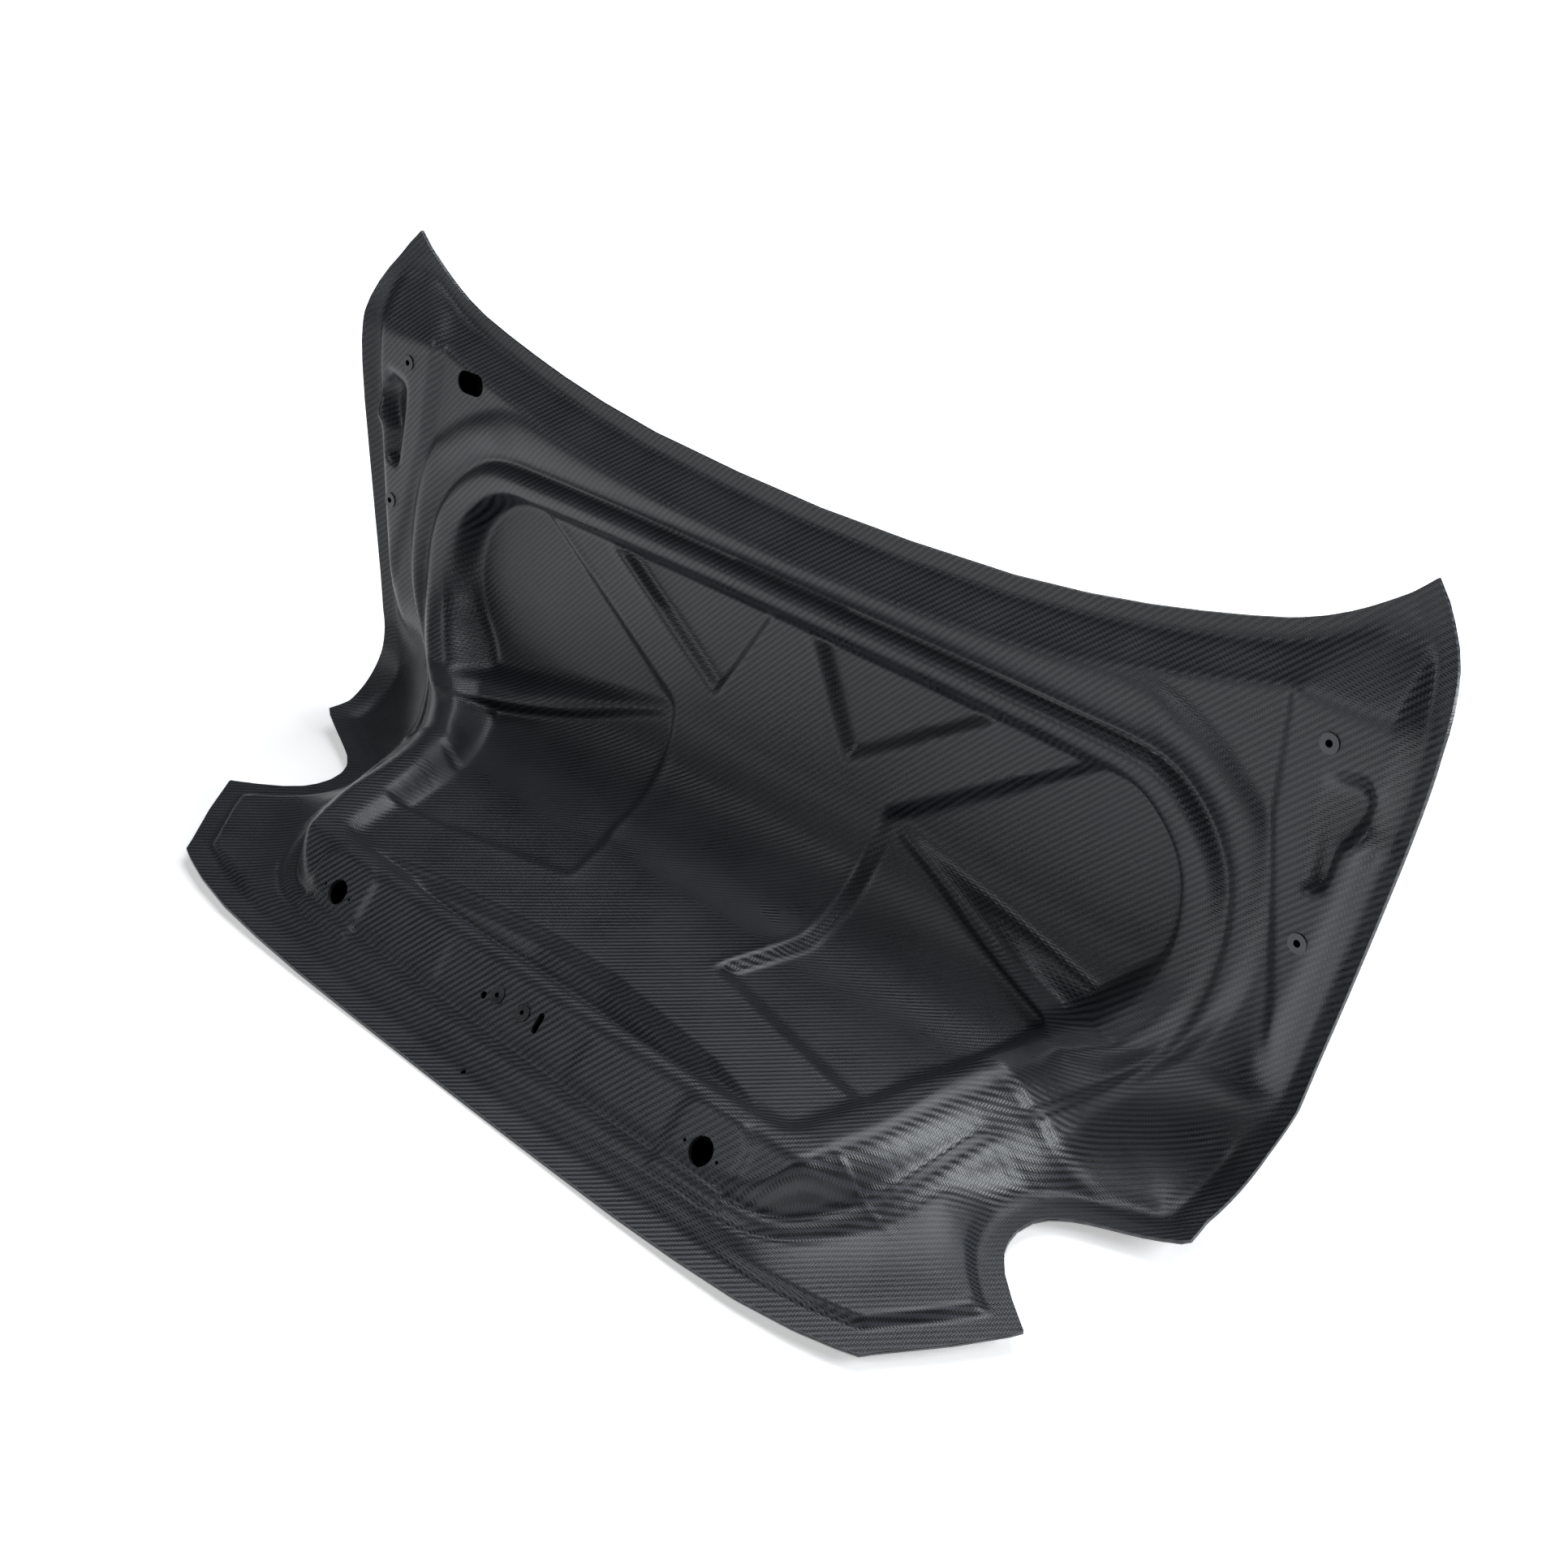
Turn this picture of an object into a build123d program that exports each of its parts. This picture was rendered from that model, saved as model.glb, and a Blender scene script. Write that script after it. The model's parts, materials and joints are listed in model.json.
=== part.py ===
from build123d import *
from math import asin, cos, pi, radians, sin, sqrt, tan
import os

# Carbon-fibre boot lid for a circuit car, seen from its inside and standing on its rear face.
# Millimetres. +X is the lid's width (the lid is symmetric about x = 0), +Z is up, -Y is the inner side.
# Two places use lengths measured on the outer skin: u runs down the deck from the middle of the
# front edge, v runs along the rear face from the end of the bend towards the lip.

# ---- driving dimensions of the outer skin ----
DECK_LENGTH = 450.0          # front edge to the corner where deck and rear face would meet
REAR_LENGTH = 440.0          # that corner to the lip
DECK_LEAN = 11.0             # degrees that the deck leans back from upright
BEND_RADIUS = 76.0           # outer radius of the bend between deck and rear face
REGION_RADIUS = 144.0        # bend of the developed layout, u ends and v starts at its tangents
CROWN_RADIUS = 10000.0       # sideways crown of both faces
SHOULDER_START = 590.0       # half width at which the sides start to roll in
SHOULDER_RADIUS = 210.0
SKIN_WALL = 2.0
BOND_GAP = 0.8               # thickness of the adhesive
PANEL_WALL = 1.6

# ---- outline of the lid, half widths ----
TIP_X, TIP_RISE = 650.0, 144.0          # the pointed front corners, above the middle of the front edge
FRONT_ARC_X, FRONT_ARC_RISE = 545.0, 73.0
SIDE_X, SIDE_DROP = 705.0, 20.0         # widest place, above the middle of the front edge
KINK_X = 667.0                          # side edge where the bend starts
FLAP_X, FLAP_V = 646.0, 11.0            # lower corner of the flap
NOTCH_X, NOTCH_V = 525.0, 82.0          # bottom of the lamp notch
NOTCH_MOUTH_V = 40.0                    # the notch's upper edge where the flap ends
WING_X, WING_V = 602.0, 179.0           # outer corner of the wing
LIP_CORNER_X, LIP_CORNER_RISE = 518.0, 33.0

# ---- inner panel ----
CREST_OFFSET = 42.0          # crest of the ring above the deck's outer face
CREST_RADIUS = 100.0
CREST_HEIGHT = 84.0          # crest height above the floor where the bend ends
RIDGE_Y, RIDGE_HEIGHT = -158.0, 72.0
LATCH_FOOT_Y, LATCH_FOOT_HEIGHT = -202.0, 29.0
APRON_END_Y = -238.0
RIDGE_RADIUS, FOOT_RADIUS = 9.0, 20.0
FLOOR_OFFSET = 6.0           # recess floor above the deck's outer face
FLOOR_RADIUS = 150.0
FLOOR_HEIGHT = 55.0          # recess floor above the rear face
WEB_RISE = 8.0               # the star web stands this much above the recess floor
TROUGH_HEIGHT = 38.0
FLANGE_WIDTH = 44.0          # bonded flange round the raised part
RECESS_TOP_U = 102.0
RECESS_X = 525.0
RECESS_CORNER = 92.0

# ---- fittings ----
HINGE_PITCH = 175.0          # between the two hinge bolts of a side
HINGE_X, HINGE_TOP_U = 616.0, 1.0
HINGE_SPLAY = 20.0           # the lower bolt stands this much further out
THREAD_M8_RADIUS = 3.4       # minor radius of an M8 thread
THREAD_M6_RADIUS = 2.5       # minor radius of an M6 thread
INSERT_BARREL = 6.0          # outer radius of an insert's barrel
INSERT_LENGTH = 16.0
INSERT_FIT = 0.15            # radial clearance of the barrel in the panel
PLATE_THICKNESS = 3.0        # backing plates behind the panel
PLATE_GAP = 0.3              # adhesive line between plate and panel
LATCH_PITCH = 39.0
STOP_X = 282.0
STOP_BORE_RADIUS = 14.0
STOP_SCREW_PITCH = 42.0
STOP_SCREW_RADIUS = 1.9
WIRE_HOLE_U, WIRE_HOLE_X = 2.0, -516.0
WIRE_HOLE_LENGTH, WIRE_HOLE_WIDTH = 46.0, 26.0
DRAIN_RADIUS = 3.0
DRAIN_FROM_LIP = 25.0
INSERT_HEAD, INSERT_HEAD_THICKNESS = 9.0, 1.2
HEAD_SEAT = 0.1              # clearance between an insert's head and the panel
LATCH_BOLT_DOWN = 26.0       # down the latch face from the ridge
STOP_DOWN = 34.0
HINGE_PLATE_LENGTH, HINGE_PLATE_WIDTH = 214.0, 32.0
LATCH_PLATE_LENGTH, LATCH_PLATE_WIDTH = 200.0, 40.0
STOP_PLATE_LENGTH, STOP_PLATE_WIDTH = 66.0, 38.0
PLATE_CORNER = 6.0
CUT_DEPTH = 14.0             # cutters reach this far behind the crest
MASTIC_RADIUS = 16.0
MASTIC_SPOTS = [(340.0, 175.0), (445.0, 175.0), (300.0, 245.0), (420.0, 245.0)]
BOND_INSET, BOND_WIDTH = 6.0, 14.0
LATCH_HOLE_X, LATCH_HOLE_RADIUS = -36.0, 4.0
LATCH_SLOT_X, LATCH_SLOT_LENGTH, LATCH_SLOT_WIDTH = 42.0, 22.0, 8.0

os.makedirs("parts", exist_ok=True)

REACH = 400.0                # further than any sheet stands from the skin
LEAN = radians(DECK_LEAN)
TURN = pi / 2 - LEAN         # angle that the skin turns through in the bend
DECK_DOWN = Vector(0, -sin(LEAN), -cos(LEAN))
DECK_IN = Vector(0, -cos(LEAN), sin(LEAN))
LIP_Y = -264.5
CORNER_Y = LIP_Y + REAR_LENGTH
BEND_TANGENT = REGION_RADIUS * tan(TURN / 2)
BEND_U = DECK_LENGTH - BEND_TANGENT
BEND_Y = CORNER_Y - BEND_TANGENT
FRONT = Vector(0, CORNER_Y, 0) - DECK_DOWN * DECK_LENGTH
BEND_CENTRE = Vector(0, BEND_Y, REGION_RADIUS)
LIP_V = BEND_Y - LIP_Y


def deck_point(x, u, offset=0.0):
    """A point at width x, length u down the deck, offset inwards from the outer face."""
    return FRONT + DECK_DOWN * u + DECK_IN * offset + Vector(x, 0, 0)


def deck_plane(u=0.0, offset=0.0):
    """Plane lying in the deck: local x is the width, local y runs up the deck, z points inwards."""
    return Plane(origin=deck_point(0, u, offset), x_dir=(1, 0, 0), z_dir=DECK_IN)


# ---- sheets: a crowned section carried along a side profile ----
def crown_rise(x):
    """How far the crown lifts the skin inwards at half width x."""
    return CROWN_RADIUS - sqrt(CROWN_RADIUS ** 2 - x ** 2)


def section_point(angle, offset, rolled):
    """Point of the crowned section at an angle from the middle, offset inwards."""
    start = asin(SHOULDER_START / CROWN_RADIUS)
    if abs(angle) <= start or not rolled:
        radius = CROWN_RADIUS - offset
        return (radius * sin(angle), CROWN_RADIUS - radius * cos(angle))
    side = 1 if angle > 0 else -1
    centre_arm = CROWN_RADIUS - SHOULDER_RADIUS
    radius = SHOULDER_RADIUS - offset
    x = centre_arm * sin(start) + radius * sin(abs(angle))
    return (side * x, CROWN_RADIUS - centre_arm * cos(start) - radius * cos(angle))


def section_arc(first, last, offset, rolled):
    middle = (first + last) / 2
    return ThreePointArc(*[section_point(a, offset, rolled) for a in (first, middle, last)])


def section(low, high, half):
    """Closed strip between two offsets of the crowned section; half is None for the whole width with
    its rolled shoulders, or a half width for a strip with the crown only."""
    start = asin((half or SHOULDER_START) / CROWN_RADIUS)
    stops = [-start, start]
    rolled = half is None
    if rolled:
        edge = asin((SIDE_X + 12 - (CROWN_RADIUS - SHOULDER_RADIUS) * sin(start)) / SHOULDER_RADIUS)
        stops = [-edge, -start, start, edge]
    lines = [section_arc(a, b, offset, rolled) for offset in (low, high) for a, b in zip(stops, stops[1:])]
    for angle in (stops[0], stops[-1]):
        lines.append(Line(section_point(angle, low, rolled), section_point(angle, high, rolled)))
    return make_face(Curve() + lines)


def carry(path, low, high, half=None):
    """Solid between two offsets of a side profile. path lists (y, z, radius) corners."""
    face = section(low, high, half)
    corners = [Vector(0, y, z) for y, z, _ in path]
    body = Part()
    start = corners[0]
    for i in range(1, len(corners)):
        run = (corners[i] - start).normalized()
        end, turn = corners[i], 0.0
        if i + 1 < len(corners):
            onward = (corners[i + 1] - corners[i]).normalized()
            turn = run.get_angle(onward)
            end = corners[i] - run * path[i][2] * tan(radians(turn) / 2)
        plane = Plane(origin=start, x_dir=(1, 0, 0), z_dir=run)
        body += extrude(plane * face, (end - start).length)
        if turn:
            inward = (run.Y * onward.Z - run.Z * onward.Y) < 0
            side = plane.y_dir if inward else plane.y_dir * -1
            centre = end + side * path[i][2]
            axis = Axis(centre, (-1, 0, 0) if inward else (1, 0, 0))
            ending = Plane(origin=end, x_dir=(1, 0, 0), z_dir=run)
            body += revolve(ending * face, axis, turn)
            start = corners[i] + onward * path[i][2] * tan(radians(turn) / 2)
    return body


# ---- trims: one column over the deck, one over the bend, one over the rear face ----
BISECTOR = (DECK_IN + Vector(0, 0, 1)).normalized()
BEND_PLANE = Plane(origin=BEND_CENTRE, x_dir=(1, 0, 0), z_dir=BISECTOR)


def bend_place(share):
    """Local y on BEND_PLANE of the skin at a share of the bend (0 at the deck, 1 at the rear face)."""
    return REGION_RADIUS * sin(TURN / 2 - share * TURN)


def wedge():
    """The sector of space that belongs to the bend."""
    arm = REGION_RADIUS * 1.6
    down = BEND_CENTRE - DECK_IN * arm
    points = [BEND_CENTRE, down, BEND_CENTRE - BISECTOR * arm * 1.4, BEND_CENTRE - Vector(0, 0, arm)]
    profile = Plane.YZ.offset(-REACH * 2) * make_face(Polyline(*[(p.Y, p.Z) for p in points], close=True))
    return extrude(profile, REACH * 4)


def mirrored(points):
    """Closes a right-hand chain of (x, length) points with its mirror image."""
    return points + [(-x, y) for x, y in reversed(points) if abs(x) > 1e-6]


def column(deck, bend, rear):
    """Solid over a developed region. deck and rear are faces in (x, u) and (x, v); bend lists the
    region's right-hand half widths as (share, inner x, outer x) rows."""
    body = Part()
    if deck is not None:
        body += extrude(deck_plane() * mirror(deck, Plane.XZ), REACH / 2, both=True)
    if bend:
        shape = Part()
        right = [(outer, bend_place(share)) for share, _, outer in bend]
        left = [(inner, bend_place(share)) for share, inner, _ in bend]
        if all(inner <= 0 for _, inner, _ in bend):
            loops = [mirrored(right)]
        else:
            loops = [right + left[::-1]]
            loops.append([(-x, y) for x, y in loops[0]])
        for loop in loops:
            shape += extrude(BEND_PLANE * make_face(Polyline(*loop, close=True)), REACH / 2, both=True)
        body += shape & wedge()
    if rear is not None:
        place = Plane(origin=(0, BEND_Y, 0), x_dir=(1, 0, 0), z_dir=(0, 0, 1))
        body += extrude(place * mirror(rear, Plane.XZ), REACH / 2, both=True)
    return body


# ---- regions of the developed lid; inset draws a region in by a wall or a flange ----
def closed_deck(top_x, top_u, middle_u, chain, radius):
    """Deck face under an arched top edge; chain runs down the right side to the bend."""
    top = ThreePointArc((-top_x, top_u), (0, middle_u), (top_x, top_u))
    right = FilletPolyline((top_x, top_u), *chain, radius=radius)
    left = mirror(right, Plane.YZ)
    low_x, low_u = chain[-1]
    return make_face(Curve() + [top, right, left, Line((low_x, low_u), (-low_x, low_u))])


def lid_region(inset=0.0):
    """The whole lid, or the lid without a margin all round."""
    i = inset
    tip = [(TIP_X, -TIP_RISE)] if not i else [(FRONT_ARC_X + i, i - FRONT_ARC_RISE - 35)]
    side = tip + [(SIDE_X - 15 - i, -SIDE_DROP - 75 + i), (SIDE_X - i, -SIDE_DROP), (KINK_X - i, BEND_U)]
    deck = closed_deck(FRONT_ARC_X, i - FRONT_ARC_RISE, i, side, 12.0)
    bend = [(0.0, 0.0, KINK_X - i), (1.0, 0.0, FLAP_X - i)]
    chain = [(FLAP_X - i, 0.0), (FLAP_X - i, FLAP_V), (FLAP_X - 65 - i, NOTCH_MOUTH_V - i),
             (NOTCH_X - i, NOTCH_V), (WING_X - i, WING_V + i),
             (LIP_CORNER_X - i, LIP_V - LIP_CORNER_RISE - i)]
    right = FilletPolyline(*chain, radius=[0.0, 14.0, 20.0, 0.0])
    lip = ThreePointArc(chain[-1], (0, LIP_V - i), (-chain[-1][0], chain[-1][1]))
    rear = make_face(Curve() + [right, mirror(right, Plane.YZ), lip, Line((-chain[0][0], 0), chain[0])])
    return column(deck, bend, rear)


RAISED_BEND_X, RAISED_END_X = 645.0, 480.0
APRON_X = 372.0


def raised_region(inset=0.0):
    """The raised ring with its hinge pads, from the front facet down to the lip."""
    i = inset
    margin = FLANGE_WIDTH + i
    side = [(640.0 - i, margin - FRONT_ARC_RISE - 43), (672.0 - i, -20.0), (RAISED_BEND_X - i, BEND_U)]
    deck = closed_deck(FRONT_ARC_X, margin - FRONT_ARC_RISE, margin, side, 30.0)
    bend = [(0.0, 0.0, RAISED_BEND_X - i), (1.0, 0.0, RAISED_END_X - i)]
    end_v = BEND_Y - APRON_END_Y - i
    chain = [(RAISED_END_X - i, 0.0), (449.0 - i, 68.0), (430.0 - i, 160.0), (APRON_X - i, end_v)]
    rear = make_face(Polyline(*mirrored(chain), close=True))
    return column(deck, bend, rear)


RECESS_BEND_X, RECESS_REAR_X, RECESS_RIDGE_X = 470.0, 412.0, 350.0


def recess_region(inset=0.0):
    """The deep recess inside the ring, down to the latch ridge."""
    i = inset
    side = [(RECESS_X - i, RECESS_TOP_U + i), (RECESS_X - i, 262.0), (RECESS_BEND_X - i, BEND_U)]
    deck = closed_deck(120.0, RECESS_TOP_U + i, RECESS_TOP_U + i - 0.5, side, [RECESS_CORNER, 30.0])
    bend = [(0.0, 0.0, RECESS_BEND_X - i), (1.0, 0.0, RECESS_REAR_X - i)]
    ridge_v = BEND_Y - RIDGE_Y - RIDGE_RADIUS - i
    rear = make_face(Polyline(*mirrored([(RECESS_REAR_X - i, 0.0), (RECESS_RIDGE_X - i, ridge_v)]), close=True))
    return column(deck, bend, rear)


CHEVRON_KNEE_X, CHEVRON_KNEE_V = 53.0, 140.0
CHEVRON_END_V = 190.0


def floor_region(inset=0.0):
    """The recess floor as far as the chevron edge over the trough."""
    i = inset
    chain = [(RECESS_REAR_X + 40, 0.0), (RECESS_RIDGE_X + 40, CHEVRON_END_V - i + 8),
             (CHEVRON_KNEE_X, CHEVRON_KNEE_V - i)]
    rear = make_face(Polyline(*mirrored(chain), close=True))
    deck = make_face(Polyline(*mirrored([(700.0, 0.0), (700.0, BEND_U)]), close=True))
    return column(deck, [(0.0, 0.0, 700.0), (1.0, 0.0, 700.0)], rear)


def side_hollows(inset=0.0):
    """The two large hollows beside the star web, open to the ring."""
    i = inset
    deck = Sketch()
    rear = Sketch()
    for side in (1, -1):
        chain = [(416.0 + i, 60.0), (158.0 + i, 272.0), (150.0 + i, BEND_U), (600.0, BEND_U), (600.0, 60.0)]
        deck += make_face(Polyline(*[(side * x, u) for x, u in chain], close=True))
        chain = [(130.0 + i, 0.0), (116.0 + i, 60.0 - i), (380.0, 128.0 - i), (500.0, 120.0), (500.0, 0.0)]
        rear += make_face(Polyline(*[(side * x, v) for x, v in chain], close=True))
    return column(deck, [(0.0, 150.0 + i, 600.0), (1.0, 130.0 + i, 500.0)], rear)


def front_hollows(inset=0.0):
    """The two small triangular hollows at the front of the web."""
    i = inset
    deck = Sketch()
    for side in (1, -1):
        chain = [(272.0 - 2 * i, 116.0 + i), (32.0 + i, 116.0 + i), (97.0, 228.0 - 2 * i)]
        deck += make_face(Polyline(*[(side * x, u) for x, u in chain], close=True))
    return column(deck, None, None)


# ---- side profiles ----
def profile(deck_offset, rear_height, radius, ending, start_u=-200.0):
    """Side profile that follows the deck at an offset, bends, and meets a level rear part."""
    start = deck_point(0, start_u, deck_offset)
    fall = (start.Z - rear_height) / cos(LEAN)
    corner = start + DECK_DOWN * fall
    return [(start.Y, start.Z, 0.0), (corner.Y, corner.Z, radius)] + ending


RIDGE = Vector(0, RIDGE_Y, RIDGE_HEIGHT)
LATCH_FOOT = Vector(0, LATCH_FOOT_Y, LATCH_FOOT_HEIGHT)
LATCH_RUN = LATCH_FOOT - RIDGE
LATCH_START = RIDGE + LATCH_RUN * 0.4
PANEL_HALF, APRON_HALF = 680.0, 520.0

SKIN_PATH = profile(0.0, 0.0, BEND_RADIUS, [(LIP_Y - 30, 0.0, 0.0)])
CREST_PATH = profile(CREST_OFFSET, CREST_HEIGHT, CREST_RADIUS,
                     [(RIDGE_Y, RIDGE_HEIGHT, RIDGE_RADIUS), (LATCH_START.Y, LATCH_START.Z, 0.0)])
APRON_PATH = [(LATCH_START.Y, LATCH_START.Z, 0.0), (LATCH_FOOT_Y, LATCH_FOOT_HEIGHT, FOOT_RADIUS),
              (APRON_END_Y - 3, 5.0, 0.0)]
FLOOR_PATH = profile(FLOOR_OFFSET, FLOOR_HEIGHT, FLOOR_RADIUS, [(RIDGE_Y - 5, FLOOR_HEIGHT, 0.0)])
WEB_PATH = profile(FLOOR_OFFSET + WEB_RISE, FLOOR_HEIGHT + WEB_RISE, FLOOR_RADIUS - WEB_RISE,
                   [(RIDGE_Y - 5, FLOOR_HEIGHT + WEB_RISE, 0.0)])

PANEL_FOOT = SKIN_WALL + BOND_GAP       # underside of the panel's flange above the outer face
FLANGE_TOP = PANEL_FOOT + PANEL_WALL
RING_COVER = 24.0                       # the walls are cut from a block that stands this far above the crest
WEB_TOP = FLOOR_HEIGHT + WEB_RISE


def level(y_from, y_to, low, high):
    """Crowned sheet over the rear face between two heights."""
    return carry([(y_from, 0.0, 0.0), (y_to, 0.0, 0.0)], low, high, PANEL_HALF)


def crest_sheet(low, high):
    """Sheet along the crest, down the latch face and over the apron."""
    return carry(CREST_PATH, low, high, PANEL_HALF) + carry(APRON_PATH, low, high, APRON_HALF)


def between(ring):
    """The part of a ring of walls that lies between the flange level and the crest."""
    top = profile(CREST_OFFSET + RING_COVER, CREST_HEIGHT + RING_COVER, 0.0,
                  [(RIDGE_Y, RIDGE_HEIGHT + RING_COVER, 0.0), (APRON_END_Y - RING_COVER, RING_COVER, 0.0)])
    edge = FilletPolyline(*[(y, z) for y, z, _ in top], radius=[CREST_RADIUS - RING_COVER, 0.0])
    back = deck_point(0, -200, -RING_COVER * 2)
    foot = Polyline((top[-1][0], top[-1][1]), (top[-1][0], -RING_COVER), (back.Y, -RING_COVER),
                    (back.Y, back.Z), (top[0][0], top[0][1]))
    ring &= extrude(Plane.YZ.offset(-REACH * 2) * make_face(edge + foot), REACH * 4)
    ring -= carry(SKIN_PATH, -RING_COVER * 4, PANEL_FOOT)
    onward = LATCH_FOOT + LATCH_RUN * 0.6
    ring -= carry(CREST_PATH[:3] + [(onward.Y, onward.Z, 0.0)], 0.0, RING_COVER * 1.6, PANEL_HALF)
    return ring - carry(APRON_PATH[1:], 0.0, RING_COVER * 1.6, APRON_HALF)


# ---- inner panel, pressed from one laminate ----
def pressed_panel():
    raised, raised_in = raised_region(), raised_region(PANEL_WALL)
    recess, recess_in = recess_region(), recess_region(PANEL_WALL)
    field, floor_in = recess & floor_region(), floor_region(PANEL_WALL)
    hollows = side_hollows() + front_hollows()
    hollows_in = side_hollows(PANEL_WALL) + front_hollows(PANEL_WALL)
    trough = recess - floor_region()
    trough_in = recess_in - floor_region(-PANEL_WALL)
    low, high = TROUGH_HEIGHT, WEB_TOP - PANEL_WALL / 2

    flange = carry(SKIN_PATH, PANEL_FOOT, FLANGE_TOP) & (lid_region() - raised_in)
    crest = crest_sheet(-PANEL_WALL, 0.0) & (raised - recess_in)
    inner_ring = between(recess - recess_in)
    inner_walls = (inner_ring - carry(FLOOR_PATH, -95.0, -PANEL_WALL, PANEL_HALF)) & floor_region()
    trough_walls = inner_ring - floor_region() - level(BEND_Y, RIDGE_Y - 20, -60.0, low - PANEL_WALL)
    edge_wall = level(BEND_Y, RIDGE_Y - 20, low - PANEL_WALL, high) & (trough - trough_in) & recess_in
    trough_sheet = level(BEND_Y, RIDGE_Y - 20, low - PANEL_WALL, low) & trough

    web = carry(FLOOR_PATH, -PANEL_WALL, WEB_RISE, PANEL_HALF) & field
    web -= carry(FLOOR_PATH, 0.0, WEB_RISE + 2, PANEL_HALF) & hollows_in
    web -= carry(FLOOR_PATH, -PANEL_WALL - 2, WEB_RISE - PANEL_WALL, PANEL_HALF) & (recess_in - hollows) & floor_in
    pieces = [between(raised - raised_in), crest, inner_walls, trough_walls, edge_wall, trough_sheet, web]
    panel = flange
    for piece in pieces:
        panel += piece
    return max(panel.solids(), key=lambda solid: solid.volume)


# ---- places on the crest and on the latch face ----
LATCH_DOWN = LATCH_RUN.normalized()
LATCH_IN = Vector(0, LATCH_DOWN.Z, -LATCH_DOWN.Y)


def seat(x, middle, inward):
    """Plane on the crowned crest at width x; middle is the crest's point at x = 0."""
    angle = asin(x / CROWN_RADIUS)
    origin = middle + inward * (CROWN_RADIUS - CROWN_RADIUS * cos(angle)) + Vector(x, 0, 0)
    normal = inward * cos(angle) - Vector(sin(angle), 0, 0)
    return Plane(origin=origin, x_dir=(cos(angle), inward.Y * sin(angle), inward.Z * sin(angle)), z_dir=normal)


def deck_seat(x, u):
    return seat(x, deck_point(0, u, CREST_OFFSET), DECK_IN)


def latch_seat(x, along=LATCH_BOLT_DOWN):
    return seat(x, RIDGE + LATCH_DOWN * along, LATCH_IN)


def shifted(plane, x, y):
    """The plane with its origin moved within itself."""
    return Plane(origin=plane.from_local_coords((x, y, 0)), x_dir=plane.x_dir, z_dir=plane.z_dir)


def drill(plane, radius):
    """Round cutter through the panel and its backing plate."""
    return plane.offset(-CUT_DEPTH) * extrude(Circle(radius), CUT_DEPTH + 5)


def backing(plane, length, width, corner):
    """Flat plate glued behind the panel at a seat."""
    face = RectangleRounded(width, length, corner)
    return plane.offset(-PANEL_WALL - PLATE_GAP - PLATE_THICKNESS) * extrude(face, PLATE_THICKNESS)


def insert(plane, thread_radius):
    """Threaded insert: a barrel through panel and plate with a thin head on the panel."""
    barrel = extrude(Circle(INSERT_BARREL), INSERT_LENGTH)
    head = Pos(0, 0, INSERT_LENGTH) * extrude(Circle(INSERT_HEAD), INSERT_HEAD_THICKNESS)
    bore = extrude(Circle(thread_radius), INSERT_LENGTH * 2)
    return plane.offset(HEAD_SEAT - INSERT_LENGTH) * (barrel + head - bore)


def stadium(plane, length, width, turn=0):
    return plane.offset(-CUT_DEPTH) * extrude(SlotOverall(length, width, rotation=turn), CUT_DEPTH + 5)


def hinge_middle(side):
    """Seat between the two bolts of a hinge, turned along the line through them."""
    plane = deck_seat(side * (HINGE_X + HINGE_SPLAY / 2), HINGE_TOP_U + HINGE_PITCH / 2)
    splay = side * asin(HINGE_SPLAY / HINGE_PITCH)
    across = plane.x_dir * cos(splay) + plane.y_dir * sin(splay)
    return Plane(origin=plane.origin, x_dir=across, z_dir=plane.z_dir)


def along_hinge(side, place):
    """Seat of one hinge bolt, on the same flat plane as the backing plate."""
    return shifted(hinge_middle(side), 0, place * HINGE_PITCH / 2)


def stop_seats(side):
    """Seat of a bump stop and of its two screws."""
    middle = latch_seat(side * STOP_X, STOP_DOWN)
    return middle, [shifted(middle, x, 0) for x in (-STOP_SCREW_PITCH / 2, STOP_SCREW_PITCH / 2)]


# ---- pieces ----
outer_skin = carry(SKIN_PATH, 0.0, SKIN_WALL) & lid_region()
export_step(outer_skin.solid(), "parts/outer_skin.step")

inner_panel = pressed_panel()
fittings = {}
for side, name in ((-1, "left"), (1, "right")):
    bolts = [along_hinge(side, place) for place in (-1, 1)]
    plate = backing(hinge_middle(side), HINGE_PLATE_LENGTH, HINGE_PLATE_WIDTH, PLATE_CORNER)
    for bolt in bolts:
        plate -= drill(bolt, INSERT_BARREL + INSERT_FIT)
        inner_panel -= drill(bolt, INSERT_BARREL + INSERT_FIT)
    fittings["hinge_plate_" + name] = [plate]
    fittings["hinge_inserts_" + name] = [insert(bolt, THREAD_M8_RADIUS) for bolt in bolts]

    middle, screws = stop_seats(side)
    plate = backing(middle, STOP_PLATE_WIDTH, STOP_PLATE_LENGTH, PLATE_CORNER)
    for place, radius in [(middle, STOP_BORE_RADIUS)] + [(screw, STOP_SCREW_RADIUS) for screw in screws]:
        plate -= drill(place, radius)
        inner_panel -= drill(place, radius)
    fittings["stop_plate_" + name] = [plate]

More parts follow.
